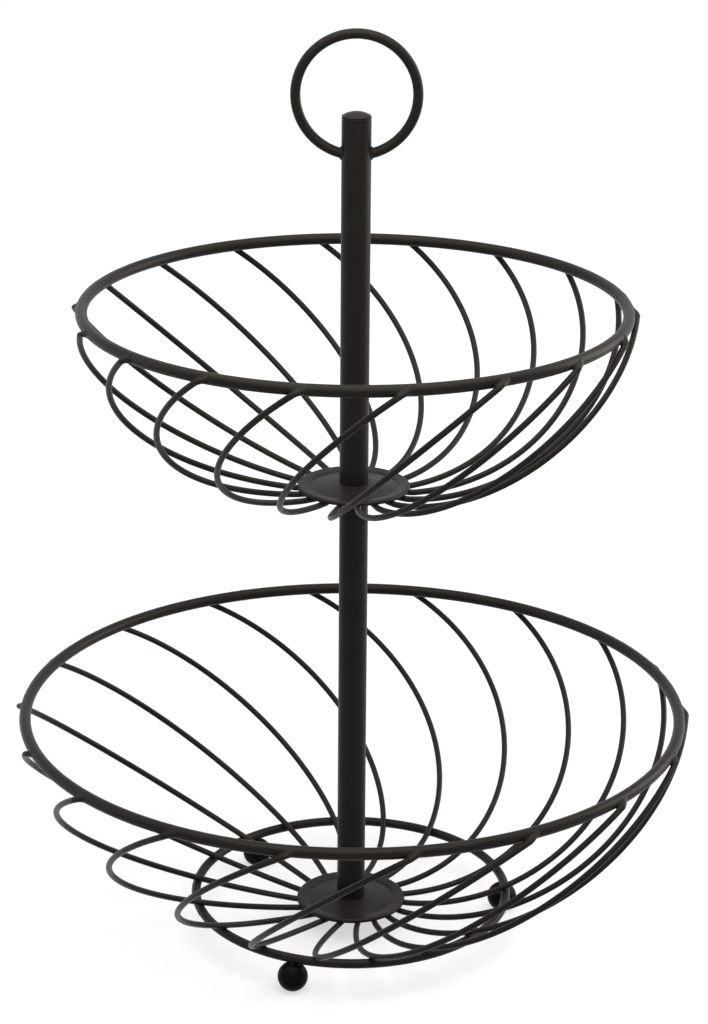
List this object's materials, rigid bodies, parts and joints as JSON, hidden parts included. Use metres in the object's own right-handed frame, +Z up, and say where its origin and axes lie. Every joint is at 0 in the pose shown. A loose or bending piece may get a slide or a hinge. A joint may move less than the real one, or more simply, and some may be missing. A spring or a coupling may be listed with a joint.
{
  "type": "tiered wire basket",
  "caption": "Free-standing two-tier fruit basket: round wire bowls with swirled wires on a tube pole, a ring handle on top and a foot ring on ball feet.",
  "frame": {"origin": "on the surface the basket stands on, below the pole's axis", "axes": "+Z up along the pole, +X to the right and -Y towards the viewer of the picture; the handle ring lies in the XZ plane"},
  "size_m": [0.306, 0.302, 0.4179],
  "materials": {
    "black_coat": "satin",
    "black_ball": "satin",
    "black_plastic": "satin",
    "zinc_steel": "satin"
  },
  "bodies": {
    "root": {"base_screw": "zinc_steel", "base_washer": "zinc_steel", "foot_ball_1": "black_ball", "foot_ball_2": "black_ball", "foot_ball_3": "black_ball", "foot_ring": "black_coat", "handle_ring": "black_coat", "joining_stud": "zinc_steel", "lower_hub_disc": "black_coat", "lower_rim": "black_coat", "lower_tube": "black_coat", "lower_tube_bottom_insert": "zinc_steel", "lower_tube_top_insert": "zinc_steel", "lower_wire_01": "black_coat", "lower_wire_02": "black_coat", "lower_wire_03": "black_coat", "lower_wire_04": "black_coat", "lower_wire_05": "black_coat", "lower_wire_06": "black_coat", "lower_wire_07": "black_coat", "lower_wire_08": "black_coat", "lower_wire_09": "black_coat", "lower_wire_10": "black_coat", "lower_wire_11": "black_coat", "lower_wire_12": "black_coat", "lower_wire_13": "black_coat", "lower_wire_14": "black_coat", "lower_wire_15": "black_coat", "lower_wire_16": "black_coat", "lower_wire_17": "black_coat", "lower_wire_18": "black_coat", "top_plug": "black_plastic", "upper_hub_disc": "black_coat", "upper_rim": "black_coat", "upper_tube": "black_coat", "upper_tube_insert": "zinc_steel", "upper_wire_01": "black_coat", "upper_wire_02": "black_coat", "upper_wire_03": "black_coat", "upper_wire_04": "black_coat", "upper_wire_05": "black_coat", "upper_wire_06": "black_coat", "upper_wire_07": "black_coat", "upper_wire_08": "black_coat", "upper_wire_09": "black_coat", "upper_wire_10": "black_coat", "upper_wire_11": "black_coat", "upper_wire_12": "black_coat", "upper_wire_13": "black_coat", "upper_wire_14": "black_coat", "upper_wire_15": "black_coat", "upper_wire_16": "black_coat", "upper_wire_17": "black_coat", "upper_wire_18": "black_coat"}
  },
  "joints": []
}
